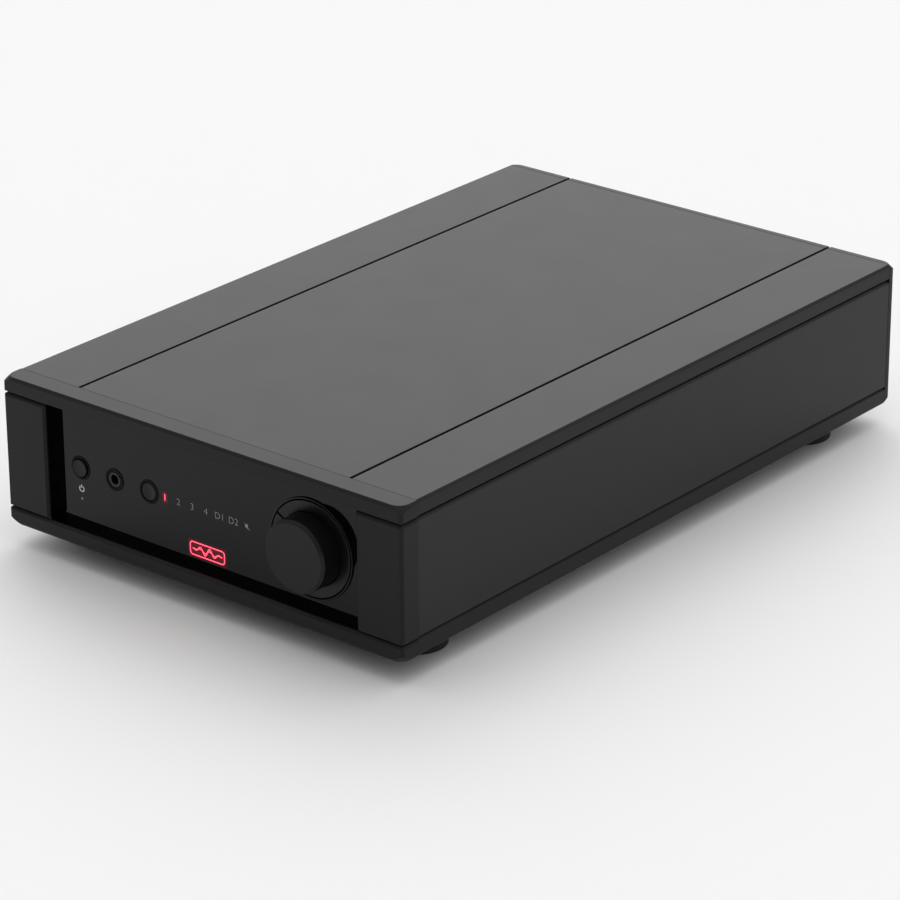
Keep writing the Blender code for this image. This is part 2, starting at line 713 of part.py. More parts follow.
def phono_barrel(name, body, panel, centre):
    """A phono socket's barrel on its body, with the pin's bore and the hole in the rear panel."""
    start = REAR_INSIDE - 1.1
    profile = [
        (0, start),
        (5.2, start),
        (5.2, REAR_Y + 1.0),
        (4.15, REAR_Y + 1.0),
        (4.15, REAR_Y + 9.3),
        (3.9, REAR_Y + 9.6),
        (0, REAR_Y + 9.6),
    ]
    add(body, turned(name + "_barrel", profile, centre, segments=16))
    cut(body, rod(name + "_bore", 1.6, (REAR_Y - 2, REAR_Y + 12), centre, segments=12))
    cut(panel, rod(name + "_hole", 5.4, REAR_CUT, centre))


def line_inputs(panel):
    depth = (REAR_INSIDE - 11.1, REAR_INSIDE - 0.1)
    for i, x in enumerate(LINE_X):
        height = (LINE_Z[0] - 7.5, LINE_Z[1] + 7.5)
        block = box(f"line_input_{i + 1}", (x - 6, x + 6), depth, height, GOLD)
        for row, z in enumerate(LINE_Z):
            phono_barrel(f"phono_{i}_{row}", block, panel, (x, z))


def digital_inputs(panel):
    depth = (REAR_INSIDE - 11.1, REAR_INSIDE - 0.1)
    span_x, span_z = around(COAXIAL_AT, 6.0, 6.0, 7.0, 7.0)
    coaxial = box("coaxial_input", span_x, depth, span_z, GOLD)
    phono_barrel("coaxial", coaxial, panel, COAXIAL_AT)

    front = REAR_Y + 1.6
    span_x, span_z = around(OPTICAL_AT, 6.6, 6.6, 6.2, 6.2)
    optical = box("optical_input", span_x, (front - 17, front), span_z, BLACK_PLASTIC)
    hollow_x, hollow_z = around(OPTICAL_AT, 4.7, 4.7, 4.3, 4.7)
    cut(optical, box("optical_cavity", hollow_x, (front - 12, front + 3), hollow_z))
    cutout_x, cutout_z = around(OPTICAL_AT, 6.8, 6.8, 6.4, 6.4)
    cut(panel, box("optical_cutout", cutout_x, REAR_CUT, cutout_z))
    hinge = (OPTICAL_AT[0], front - 1.2, OPTICAL_AT[1] + 4.0)
    flap_x, flap_z = around(OPTICAL_AT, 4.5, 4.5, 4.1, 4.4)
    box("optical_flap", flap_x, (hinge[1] - 0.4, hinge[1] + 0.4), flap_z, BLACK_PLASTIC, origin=hinge)


def ground_terminal(panel):
    post = [
        (0, REAR_INSIDE - 4.1),
        (4.5, REAR_INSIDE - 4.1),
        (4.5, REAR_INSIDE - 0.1),
        (2.0, REAR_INSIDE - 0.1),
        (2.0, REAR_Y + 13.0),
        (0, REAR_Y + 13.0),
    ]
    turned("ground_post", post, GROUND_AT, finish=GOLD, segments=16)
    nut = [
        (2.1, REAR_Y + 1.0),
        (4.8, REAR_Y + 1.0),
        (4.8, REAR_Y + 7.6),
        (4.3, REAR_Y + 8.2),
        (2.1, REAR_Y + 8.2),
    ]
    turned("ground_nut", nut, GROUND_AT, finish=GOLD, segments=16)
    cut(panel, rod("ground_hole", 2.2, REAR_CUT, GROUND_AT))


def speaker_terminals(panel):
    cap_base = REAR_Y + 4.2
    cap_end = Y_BACK
    cap = [
        (3.75, cap_base),
        (6.3, cap_base),
        (6.3, cap_end - 1.0),
        (5.6, cap_end),
        (2.6, cap_end),
        (2.6, cap_end - 0.9),
        (3.75, cap_end - 0.9),
    ]
    stem = [
        (0, REAR_Y - 9.0),
        (3.0, REAR_Y - 9.0),
        (3.0, REAR_Y + 1.0),
        (5.6, REAR_Y + 1.0),
        (5.6, cap_base - 0.1),
        (3.6, cap_base - 0.1),
        (3.6, cap_end - 1.2),
        (0, cap_end - 1.2),
    ]
    number = 0
    for pair, z in enumerate(SPEAKER_Z):
        span = (SPEAKER_X[0] - 9.0, SPEAKER_X[1] + 9.0)
        depth = (REAR_Y + 0.1, REAR_Y + 2.4)
        block = box(f"speaker_block_{pair + 1}", span, depth, (z - 8.5, z + 8.5), GOLD)
        for x in SPEAKER_X:
            number += 1
            add(block, turned(f"speaker_stem_{number}", stem, (x, z), segments=16))
            plug_bore = (cap_base, cap_base + 20.0)
            cut(block, rod(f"speaker_bore_{number}", 2.0, plug_bore, (x, z), segments=12))
            cut(panel, rod(f"speaker_hole_{number}", 3.3, REAR_CUT, (x, z)))
            turned(f"speaker_cap_{number}", cap, (x, z), finish=BLACK_PLASTIC, segments=20)


def rear_panel():
    span_x = INNER_X - 0.2
    span_z = (Z0 + SKIN + 0.2, LID_INSIDE - 0.2)
    panel = box("rear_panel", (-span_x, span_x), (REAR_INSIDE, REAR_Y), span_z, REAR_PAINT)
    mains_inlet(panel)
    line_inputs(panel)
    digital_inputs(panel)
    ground_terminal(panel)
    speaker_terminals(panel)


# ---------------------------------------------------------------- feet
def foot_places():
    return [(x, y) for y in FOOT_Y for x in (-FOOT_X, FOOT_X)]


def feet():
    high = FOOT_HEIGHT - 0.05
    foot = [
        (4.6, 0.0),
        (FOOT_RADIUS - 0.8, 0.0),
        (FOOT_RADIUS, 0.8),
        (FOOT_RADIUS, high),
        (2.2, high),
        (2.2, 4.0),
        (4.6, 4.0),
    ]
    tip = Z0 + SKIN - 0.4
    screw = [(0, 1.4), (3.2, 1.4), (3.9, 2.2), (3.9, 3.9), (2.0, 3.9), (2.0, tip), (0, tip)]
    for i, centre in enumerate(foot_places()):
        turned(f"foot_{i + 1}", foot, centre, ALONG_Z, RUBBER)
        turned(f"foot_screw_{i + 1}", screw, centre, ALONG_Z, STEEL, segments=12)


front_fascia()
front_panel()
top_cover()
base_plate()
side_wall("side_left", -1)
side_wall("side_right", 1)
rear_frame()
volume_control()
potentiometer()
buttons()
headphone_socket()
light_guides()
front_board()
main_board()
transformer()
output_stage()
rear_panel()
feet()
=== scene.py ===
"""Looks for a compact audio amplifier: matt case, recessed gloss panel, knob and rear sockets.

Sizes are millimetres in the CAD frame: x to the right of the front, y to the back, z up.
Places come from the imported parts; each section below builds or finishes one group of pieces.
"""

import math

import bmesh
import bpy
from mathutils import Matrix, Vector


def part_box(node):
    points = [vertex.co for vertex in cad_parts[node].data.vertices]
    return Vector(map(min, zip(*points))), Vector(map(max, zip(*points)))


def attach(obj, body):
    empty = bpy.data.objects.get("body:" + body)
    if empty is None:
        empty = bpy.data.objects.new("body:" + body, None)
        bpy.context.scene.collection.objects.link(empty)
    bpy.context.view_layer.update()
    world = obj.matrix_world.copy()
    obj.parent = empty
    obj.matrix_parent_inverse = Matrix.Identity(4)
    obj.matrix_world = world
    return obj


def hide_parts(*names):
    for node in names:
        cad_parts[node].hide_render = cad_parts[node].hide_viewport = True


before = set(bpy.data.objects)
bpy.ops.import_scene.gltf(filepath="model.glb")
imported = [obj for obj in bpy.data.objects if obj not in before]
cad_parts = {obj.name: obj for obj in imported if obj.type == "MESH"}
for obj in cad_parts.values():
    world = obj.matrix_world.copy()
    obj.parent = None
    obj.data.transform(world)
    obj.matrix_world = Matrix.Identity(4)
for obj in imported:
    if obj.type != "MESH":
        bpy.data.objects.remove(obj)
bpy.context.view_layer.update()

MM = 0.001
CHASSIS = "chassis"
ROUND_STEPS = 96
SHARP_ANGLE = math.radians(24)
FLAT_PIECE_ANGLE = math.radians(30)


# ---------------------------------------------------------------- places taken from the frame
def limits(node):
    """A CAD part's span on each axis, in millimetres."""
    low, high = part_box(node)
    return [(a / MM, b / MM) for a, b in zip(low, high)]


def middle(span):
    return (span[0] + span[1]) / 2


def face_centre(node):
    """The (x, z) middle of a part that faces front or back."""
    xs, _, zs = limits(node)
    return middle(xs), middle(zs)


(_, HALF_X), (Y_FRONT, Y_JOINT), (Z0, Z_TOP) = limits("front_fascia")
Y_BACK = limits("rear_frame")[1][1]
PANEL_FLANGE = (4.0, 3.0, 2.6)
PANEL_THICKNESS = 2.5
BEZEL_PROUD = 0.3
PANEL_SPANS = limits("front_panel")
OPENING_X = PANEL_SPANS[0][1] - PANEL_FLANGE[0]
Z_FLOOR = PANEL_SPANS[2][0] + PANEL_FLANGE[1]
Z_CEILING = PANEL_SPANS[2][1] - PANEL_FLANGE[2]
Y_PANEL = limits("power_bezel")[1][0] + BEZEL_PROUD
Y_PANEL_BACK = Y_PANEL + PANEL_THICKNESS
REAR_Y = limits("rear_panel")[1][1]
POWER_AT = face_centre("power_bezel")
PHONES_AT = face_centre("headphone_socket")
SOURCE_AT = face_centre("source_bezel")
VOLUME_AT = face_centre("volume_knob")


# ---------------------------------------------------------------- mesh helpers
def made_from(shape, name):
    bmesh.ops.recalc_face_normals(shape, faces=shape.faces)
    mesh = bpy.data.meshes.new(name)
    shape.to_mesh(mesh)
    shape.free()
    made = bpy.data.objects.new(name, mesh)
    bpy.context.scene.collection.objects.link(made)
    return made


def skin(name, rings, closed=False):
    """A solid through rings of points, capped at its ends or joined round."""
    shape = bmesh.new()
    rows = [[shape.verts.new([value * MM for value in point]) for point in ring] for ring in rings]
    for row, after in zip(rows, rows[1:] + rows[:1] if closed else rows[1:]):
        for i in range(len(row)):
            j = (i + 1) % len(row)
            shape.faces.new((row[i], row[j], after[j], after[i]))
    if not closed:
        shape.faces.new(rows[0])
        shape.faces.new(rows[-1])
    return made_from(shape, name)


def along(axis, a, b, height):
    """The point at (a, b) across an axis and at this height along it."""
    return {"x": (height, a, b), "y": (a, height, b), "z": (a, b, height)}[axis]


def prism(name, outline, ends, axis="y"):
    return skin(name, [[along(axis, a, b, end) for a, b in outline] for end in ends])


def cuboid(name, xs, ys, zs):
    return prism(name, [(xs[0], zs[0]), (xs[1], zs[0]), (xs[1], zs[1]), (xs[0], zs[1])], ys)


def circle(centre, radius, steps=ROUND_STEPS):
    turns = [2 * math.pi * i / steps for i in range(steps)]
    return [(centre[0] + radius * math.cos(t), centre[1] + radius * math.sin(t)) for t in turns]


def rod(name, radius, ends, centre, axis="y", steps=ROUND_STEPS):
    return prism(name, circle(centre, radius, steps), ends, axis)


FLUTED_WITHIN = 0.8


def turned(name, profile, centre, axis="y", steps=ROUND_STEPS, flutes=0, depth=0.0):
    """A (radius, height) profile turned about an axis, with its widest points fluted if wanted."""
    shape = bmesh.new()
    widest = max(radius for radius, _ in profile)
    rows = []
    for radius, height in profile:
        row = []
        for i in range(steps if radius > 0 else 1):
            angle = 2 * math.pi * i / steps
            fluted = radius > widest - FLUTED_WITHIN
            cut = depth * (0.5 - 0.5 * math.cos(flutes * angle)) if fluted else 0.0
            a = centre[0] + (radius - cut) * math.cos(angle)
            b = centre[1] + (radius - cut) * math.sin(angle)
            row.append(shape.verts.new([value * MM for value in along(axis, a, b, height)]))
        rows.append(row)
    pairs = list(zip(rows, rows[1:]))
    if profile[0][0] > 0:
        pairs.append((rows[-1], rows[0]))
    for row, after in pairs:
        for i in range(steps):
            j = i + 1
            near = [row[i % len(row)], row[j % len(row)]]
            far = [after[j % len(after)], after[i % len(after)]]
            distinct = list(dict.fromkeys(near + far))
            if len(distinct) > 2:
                shape.faces.new(distinct)
    return made_from(shape, name)


def tidy_mesh(piece):
    """Joins split points and drops the edges inside flat faces."""
    shape = bmesh.new()
    shape.from_mesh(piece.data)
    bmesh.ops.remove_doubles(shape, verts=shape.verts, dist=1e-6)
    bmesh.ops.dissolve_limit(
        shape,
        angle_limit=math.radians(0.4),
        use_dissolve_boundaries=False,
        verts=shape.verts,
        edges=shape.edges,
    )
    shape.to_mesh(piece.data)
    shape.free()
    return piece


def bake(piece):
    """Puts the modifiers' result in the piece's own mesh."""
    graph = bpy.context.evaluated_depsgraph_get()
    mesh = bpy.data.meshes.new_from_object(piece.evaluated_get(graph))
    piece.modifiers.clear()
    piece.data = mesh
    return piece


def combined(piece, tools, operation="DIFFERENCE"):
    for tool in tools:
        step = piece.modifiers.new("shape", "BOOLEAN")
        step.operation = operation
        step.object = tool
    bake(piece)
    for tool in tools:
        bpy.data.objects.remove(tool, do_unlink=True)
    return tidy_mesh(piece)


def copy_of(node, name):
    """A new piece with the CAD part's shape, ready for fine edges."""
    made = bpy.data.objects.new(name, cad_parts[node].data.copy())
    bpy.context.scene.collection.objects.link(made)
    return tidy_mesh(made)


def weigh_edges(piece):
    """Marks the sharp edges to be rounded, and leaves the tight joint behind the fascia sharp."""
    shape = bmesh.new()
    shape.from_mesh(piece.data)
    weight = shape.edges.layers.float.new("bevel_weight_edge")
    for line in shape.edges:
        if len(line.link_faces) == 2 and line.calc_face_angle() > SHARP_ANGLE:
            at_joint = all(abs(end.co.y - Y_JOINT * MM) < 2e-5 for end in line.verts)
            line[weight] = 0.0 if at_joint else 1.0
            line.smooth = not at_joint
    shape.to_mesh(piece.data)
    shape.free()


def dress(piece, finish, body=CHASSIS, edge=0.15, segments=2, stands_for=(), weighed=False):
    """Rounds the edges (in millimetres), gives the finish, and fixes the piece to its body."""
    piece.data.materials.clear()
    piece.data.materials.append(finish)
    if piece.type == "MESH":
        piece.data.shade_smooth()
        if not edge:
            piece.data.set_sharp_from_angle(angle=FLAT_PIECE_ANGLE)
        if weighed:
            weigh_edges(piece)
        if edge:
            bevel = piece.modifiers.new("edge", "BEVEL")
            bevel.width = edge * MM
            bevel.segments = segments
            bevel.limit_method = "WEIGHT" if weighed else "ANGLE"
            bevel.angle_limit = SHARP_ANGLE
        piece.modifiers.new("normals", "WEIGHTED_NORMAL").keep_sharp = True
    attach(piece, body)
    if stands_for:
        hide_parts(*stands_for)
    return piece


# ---------------------------------------------------------------- materials
def node(tree, kind, **inputs):
    """A shader node. A value sets its socket, and another node's socket is linked to it."""
    made = tree.nodes.new(kind)
    for name, value in inputs.items():
        socket = made.inputs[name.replace("_", " ")]
        if isinstance(value, bpy.types.NodeSocket):
            tree.links.new(value, socket)
        else:
            socket.default_value = value
    return made


def places(tree, stretch=(1.0, 1.0, 1.0)):
    """Object coordinates in millimetres, stretched for a directional grain."""
    source = tree.nodes.new("ShaderNodeTexCoord").outputs["Object"]
    scale = [value / MM for value in stretch]
    return node(tree, "ShaderNodeMapping", Vector=source, Scale=scale).outputs[0]


def noise(tree, size, where, detail=3.0):
    made = node(tree, "ShaderNodeTexNoise", Vector=where, Scale=1.0 / size, Detail=detail)
    return made.outputs["Fac"]


def between(tree, factor, low, high):
    """A value that runs from low to high as a noise runs over its middle range."""
    span = {"From_Min": 0.3, "From_Max": 0.7, "To_Min": low, "To_Max": high}
    return node(tree, "ShaderNodeMapRange", Value=factor, **span).outputs[0]


def blend(tree, factor, first, second):
    made = tree.nodes.new("ShaderNodeMix")
    made.data_type = "RGBA"
    tree.links.new(factor, made.inputs["Factor"])
    for socket, value in zip((made.inputs[6], made.inputs[7]), (first, second)):
        if isinstance(value, bpy.types.NodeSocket):
            tree.links.new(value, socket)
        else:
            socket.default_value = (*value, 1.0)
    return made.outputs[2]


GLOSS_PATCH = 18.0


def surface(
    name,
    slot,
    colour,
    rough,
    grain=0.4,
    relief=0.01,
    mottle=0.12,
    metal=0.0,
    ior=1.5,
    stretch=(1, 1, 1),
):
    """A finish with a fine relief, an uneven gloss and a slightly uneven colour.

    grain and relief are the width and height of its texture in millimetres.
    """
    made = bpy.data.materials.new(name)
    made.use_nodes = True
    made["slot"] = slot
    tree = made.node_tree
    shader = tree.nodes["Principled BSDF"]
    shader.inputs["Metallic"].default_value = metal
    shader.inputs["IOR"].default_value = ior
    where = places(tree, stretch)
    fine = noise(tree, grain, where)
    broad = noise(tree, GLOSS_PATCH, places(tree))
    darker = [value * (1 - mottle) for value in colour]
    lighter = [value * (1 + mottle) for value in colour]
    speckle = between(tree, fine, 0.2, 0.8)
    tree.links.new(blend(tree, speckle, darker, lighter), shader.inputs["Base Color"])
    tree.links.new(between(tree, broad, rough[0], rough[1]), shader.inputs["Roughness"])
    bump = node(tree, "ShaderNodeBump", Height=fine, Distance=relief * MM)
    tree.links.new(bump.outputs[0], shader.inputs["Normal"])
    return made


def shader_of(finish):
    return finish.node_tree.nodes["Principled BSDF"]


def glowing(name, slot, colour, strength):
    made = surface(name, slot, colour, (0.3, 0.4), grain=0.3, relief=0.002)
    shader = shader_of(made)
    shader.inputs["Emission Color"].default_value = (*colour, 1.0)
    shader.inputs["Emission Strength"].default_value = strength
    return made


CASE = surface(
    "case_coat", "case", (0.0062, 0.0062, 0.0064), (0.44, 0.455), grain=0.35, relief=0.026, ior=1.31
)
# The same paint as the case coat, given a slightly lighter colour and a higher IOR so the side
# shells come out brighter: painted sheen for how the sides catch the light, not a different finish.
SIDE_COAT_PAINTED_SHEEN = surface(
    "side_coat_painted_sheen", "case", (0.0066, 0.0066, 0.0068), (0.44, 0.455), grain=0.35, relief=0.026, ior=1.37
)
FASCIA = surface(
    "fascia_coat", "case", (0.0058, 0.0058, 0.006), (0.465, 0.48),
    grain=0.35, relief=0.026, ior=1.31
)
GLOSS = surface(
    "gloss_panel", "gloss_black", (0.001, 0.001, 0.001), (0.03, 0.05),
    grain=6.0, relief=0.002, ior=1.31
)
SATIN = surface(
    "satin_knob", "knob", (0.006, 0.006, 0.0062), (0.38, 0.40), grain=0.3, relief=0.02, ior=1.32
)
SKIRT = surface(
    "satin_skirt", "knob", (0.004, 0.004, 0.0041), (0.34, 0.37), grain=0.3, relief=0.006, ior=1.36
)
DARK_METAL = surface(
    "dark_metal", "bezel", (0.0015, 0.0015, 0.0016), (0.20, 0.28),
    grain=0.25, relief=0.003, ior=1.18
)
RING_METAL = surface(
    "ring_metal", "bezel", (0.004, 0.004, 0.0042), (0.20, 0.28), grain=0.25, relief=0.003, ior=1.35
)
SOCKET_METAL = surface(
    "socket_metal", "bezel", (0.045, 0.045, 0.047), (0.30, 0.40), grain=0.2, relief=0.003, metal=1.0
)
RUBBER = surface(
    "foot_rubber", "rubber", (0.012, 0.012, 0.012), (0.70, 0.85), grain=0.6, relief=0.03
)
ZINC = surface(
    "zinc_steel", "steel", (0.52, 0.53, 0.55), (0.28, 0.42), grain=0.5, relief=0.006, metal=1.0
)
ALLOY = surface(
    "plain_alloy", "alloy", (0.60, 0.61, 0.63), (0.34, 0.46),
    relief=0.006, metal=1.0, stretch=(4, 0.2, 4)
)
GOLD = surface(
    "gold_plate", "gold", (0.80, 0.56, 0.21), (0.18, 0.30), grain=0.5, relief=0.003, metal=1.0
)
MOULDING = surface(
    "black_moulding", "black_plastic", (0.016, 0.016, 0.017), (0.42, 0.55), grain=0.5, relief=0.015
)
RED_PLASTIC = surface(
    "red_moulding", "black_plastic", (0.42, 0.010, 0.012), (0.30, 0.40), grain=0.5, relief=0.008
)
WHITE_PLASTIC = surface(
    "white_moulding", "black_plastic", (0.62, 0.62, 0.60), (0.35, 0.45), grain=0.5, relief=0.008
)
ORANGE_PLASTIC = surface(
    "orange_moulding", "black_plastic", (0.65, 0.16, 0.015), (0.3, 0.4), grain=0.5, relief=0.008
)
REAR_PAINT = surface(
    "rear_coat", "rear_paint", (0.014, 0.014, 0.0145), (0.42, 0.52), grain=0.4, relief=0.010
)
PRINT = surface(
    "grey_print", "gloss_black", (0.26, 0.26, 0.265), (0.45, 0.60), grain=0.2, relief=0.002
)
LIGHT_PRINT = surface(
    "light_print", "gloss_black", (0.62, 0.62, 0.63), (0.45, 0.60), grain=0.2, relief=0.002
)
REAR_PRINT = surface(
    "rear_print", "rear_paint", (0.55, 0.55, 0.55), (0.5, 0.65), grain=0.2, relief=0.002
)
RED_LIGHT = glowing("red_light", "clear", (1.0, 0.05, 0.10), 3.4)


# Strength of the red glow painted onto the panel as emission round the lit marks.
HALO_STRENGTH = 0.12
MARK_SHARE = 0.7
MARK_REACH = 1.7
FIGURE_REACH = 1.9


def halo(tree, where, centre, half, reach):
    """1 inside a lit mark's rectangle, falling to 0 at this reach outside it."""
    offset = node(tree, "ShaderNodeVectorMath", Vector=where)
    offset.operation = "SUBTRACT"
    offset.inputs[1].default_value = (centre[0] * MM, 0.0, centre[1] * MM)
    size = node(tree, "ShaderNodeVectorMath", Vector=offset.outputs[0])
    size.operation = "ABSOLUTE"
    past = node(tree, "ShaderNodeVectorMath", Vector=size.outputs[0])
    past.operation = "SUBTRACT"
    past.inputs[1].default_value = (half[0] * MM, 1.0, half[1] * MM)
    outside = node(tree, "ShaderNodeVectorMath", Vector=past.outputs[0])
    outside.operation = "MAXIMUM"
    outside.inputs[1].default_value = (0.0, 0.0, 0.0)
    distance = node(tree, "ShaderNodeVectorMath", Vector=outside.outputs[0])
    distance.operation = "LENGTH"
    fade = node(tree, "ShaderNodeMapRange", Value=distance.outputs["Value"])
    fade.interpolation_type = "SMOOTHERSTEP"
    fade.inputs["From Max"].default_value = reach * MM
    fade.inputs["To Min"].default_value = 1.0
    fade.inputs["To Max"].default_value = 0.0
    return fade.outputs[0]


def lit_panel(mark, figure):
    """The gloss panel, made to emit a painted red glow round its two lit marks, as if their light
    spread over it.
    """
    tree = GLOSS.node_tree
    where = tree.nodes.new("ShaderNodeTexCoord").outputs["Object"]
    glow = node(tree, "ShaderNodeMath")
    glow.operation = "MULTIPLY_ADD"
    tree.links.new(halo(tree, where, *mark, MARK_REACH), glow.inputs[0])
    glow.inputs[1].default_value = MARK_SHARE
    tree.links.new(halo(tree, where, *figure, FIGURE_REACH), glow.inputs[2])
    strength = node(tree, "ShaderNodeMath", Value=glow.outputs[0])
    strength.operation = "MULTIPLY"
    strength.inputs[1].default_value = HALO_STRENGTH
    # Painted glow: the panel surface itself emits red near the lit marks, in place of light they
    # would spread.
    shader = shader_of(GLOSS)
    shader.inputs["Emission Color"].default_value = (1.0, 0.01, 0.03, 1.0)
    tree.links.new(strength.outputs[0], shader.inputs["Emission Strength"])


def clear_acrylic():
    tint = (0.80, 0.82, 0.85)
    made = surface("clear_acrylic", "clear", tint, (0.06, 0.12), grain=2.0, relief=0.003, ior=1.49)
    shader_of(made).inputs["Transmission Weight"].default_value = 0.9
    return made


def circuit_board():
    """Green solder mask over a maze of copper tracks."""
    mask = (0.012, 0.075, 0.030)
    made = surface("circuit_board", "board", mask, (0.28, 0.38), grain=0.8, relief=0.004)
    tree = made.node_tree
    shader = shader_of(made)
    tracks = node(tree, "ShaderNodeTexBrick", Vector=places(tree), Scale=0.16)
    tracks.inputs["Mortar Size"].default_value = 0.06
    tracks.inputs["Color1"].default_value = (0.010, 0.070, 0.028, 1.0)
    tracks.inputs["Color2"].default_value = (0.012, 0.085, 0.034, 1.0)
    tracks.inputs["Mortar"].default_value = (0.030, 0.140, 0.050, 1.0)
    tree.links.new(tracks.outputs["Color"], shader.inputs["Base Color"])
    return made


def taped_winding():
    """Amber tape wound round a ring, with the copper turns showing through."""
    tape = (0.34, 0.12, 0.03)
    made = surface("taped_winding", "copper_tape", tape, (0.25, 0.40), grain=1.5, relief=0.03)
    tree = made.node_tree
    where = places(tree)
    turns = node(tree, "ShaderNodeTexWave", Vector=where, Scale=0.35, Distortion=2.0, Detail=2.0)
    colour = blend(tree, turns.outputs["Fac"], (0.30, 0.10, 0.025), (0.46, 0.19, 0.05))
    tree.links.new(colour, shader_of(made).inputs["Base Color"])
    return made


CLEAR = clear_acrylic()
BOARD = circuit_board()
WINDING = taped_winding()


# ---------------------------------------------------------------- case
OUTLINE_RADIUS = 5.0
CORNER_CHAMFER = 1.2
TOP_CHAMFER = 1.0
BOTTOM_CHAMFER = 1.2
CASE_EDGE = 0.2
EDGE_CHAMFER = 1.05
GROOVE_DEPTH = 1.4
GROOVE_HEIGHT = 1.1
CORNER_STEPS = 12


def rounded_plan(grow, radius):
    """The case's plan outline, moved outward by grow, with rounded corners."""
    x = HALF_X + grow - radius
    low, high = Y_FRONT - grow + radius, Y_BACK + grow - radius
    points = []
    for quarter, (cx, cy) in enumerate(((x, high), (-x, high), (-x, low), (x, low))):
        for i in range(CORNER_STEPS + 1):
            angle = math.pi / 2 * (quarter + i / CORNER_STEPS)
            points.append((cx + radius * math.cos(angle), cy + radius * math.sin(angle)))
    return points


def case_blank(name):
    """The whole case's outside: square-cut sides under a rounded, sloping rim."""
    slope = 12.0
    levels = (
        (Z0, -BOTTOM_CHAMFER, OUTLINE_RADIUS),
        (Z0 + slope, slope - BOTTOM_CHAMFER, OUTLINE_RADIUS + slope),
        (Z_TOP - slope, slope - TOP_CHAMFER, OUTLINE_RADIUS + slope),
        (Z_TOP, -TOP_CHAMFER, OUTLINE_RADIUS),
    )
    rings = [[(x, y, z) for x, y in rounded_plan(grow, radius)] for z, grow, radius in levels]
    return skin(name, rings)


def band(name, profile):
    """An (outward, z) profile carried round the outside of the case."""
    rings = []
    for out, z in profile:
        x, low, high = HALF_X + out, Y_FRONT - out, Y_BACK + out
        rings.append([(x, low, z), (x, high, z), (-x, high, z), (-x, low, z)])
    return skin(name, rings, closed=True)


def front_fascia():
    fascia = case_blank("fascia")
    half = [
        (HALF_X, Y_JOINT),
        (HALF_X, Y_FRONT + CORNER_CHAMFER),
        (HALF_X - CORNER_CHAMFER, Y_FRONT),
    ]
    plan = half + [(-x, y) for x, y in reversed(half)]
    combined(fascia, [prism("plan", plan, (Z0 - 5, Z_TOP + 5), "z")], "INTERSECT")
    tools = []
    for high, low in ((Z_CEILING, Z_CEILING - GROOVE_HEIGHT), (Z_FLOOR + GROOVE_HEIGHT, Z_FLOOR)):
        inside, sloped = -GROOVE_DEPTH, low - EDGE_CHAMFER - 1.0
        profile = [(1.0, high), (inside, high), (inside, low), (-EDGE_CHAMFER, low), (1.0, sloped)]
        tools.append(band("groove", profile))
    mouth = []
    for depth, grow in ((-0.6, EDGE_CHAMFER + 0.6), (EDGE_CHAMFER, 0.0), (2.6, 0.0)):
        x, y, z = OPENING_X + grow, Y_FRONT + depth, Z_FLOOR - grow
        mouth.append([(-x, y, z), (x, y, z), (x, y, Z_CEILING), (-x, y, Z_CEILING)])
    tools.append(skin("mouth", mouth))
    seat_x = (-OPENING_X - 1.1, OPENING_X + 1.1)
    seat_z = (Z_FLOOR - 1.1, Z_CEILING + 1.1)
    tools.append(cuboid("seat", seat_x, (Y_FRONT + 2.0, Y_JOINT + 5), seat_z))
    combined(fascia, tools)
    dress(fascia, FASCIA, edge=CASE_EDGE, stands_for=["front_fascia"], weighed=True)


def case_shells():
    for part in ("top_cover", "side_left", "side_right", "base_plate", "rear_frame"):
        shell = copy_of(part, part + "_shell")
        # The side shells get the lighter, more reflective copy of the case coat: painted sheen, the
        # same paint as the rest.
        finish = SIDE_COAT_PAINTED_SHEEN if part.startswith("side") else CASE
        dress(shell, finish, edge=CASE_EDGE, stands_for=[part], weighed=True)


CONTROL_HOLE = 4.72
RING_WALL = 1.88


def front_panel():
    """The tray, with round holes for the controls."""
    panel = copy_of("front_panel", "panel_tray")
    through = (Y_PANEL - 1, Y_PANEL_BACK + 1)
    holes = []
    for centre in (POWER_AT, PHONES_AT, SOURCE_AT):
        holes.append(rod("hole", CONTROL_HOLE, through, centre))
    ring_x = limits("knob_ring")[0]
    ring_hole = (ring_x[1] - ring_x[0]) / 2 - RING_WALL
    holes.append(rod("hole", ring_hole, through, VOLUME_AT))
    combined(panel, holes)
    dress(panel, GLOSS, edge=0, stands_for=["front_panel"])


# ---------------------------------------------------------------- volume control
SKIRT_STEPS = 160
POINTER_ANGLE = math.radians(146.0)


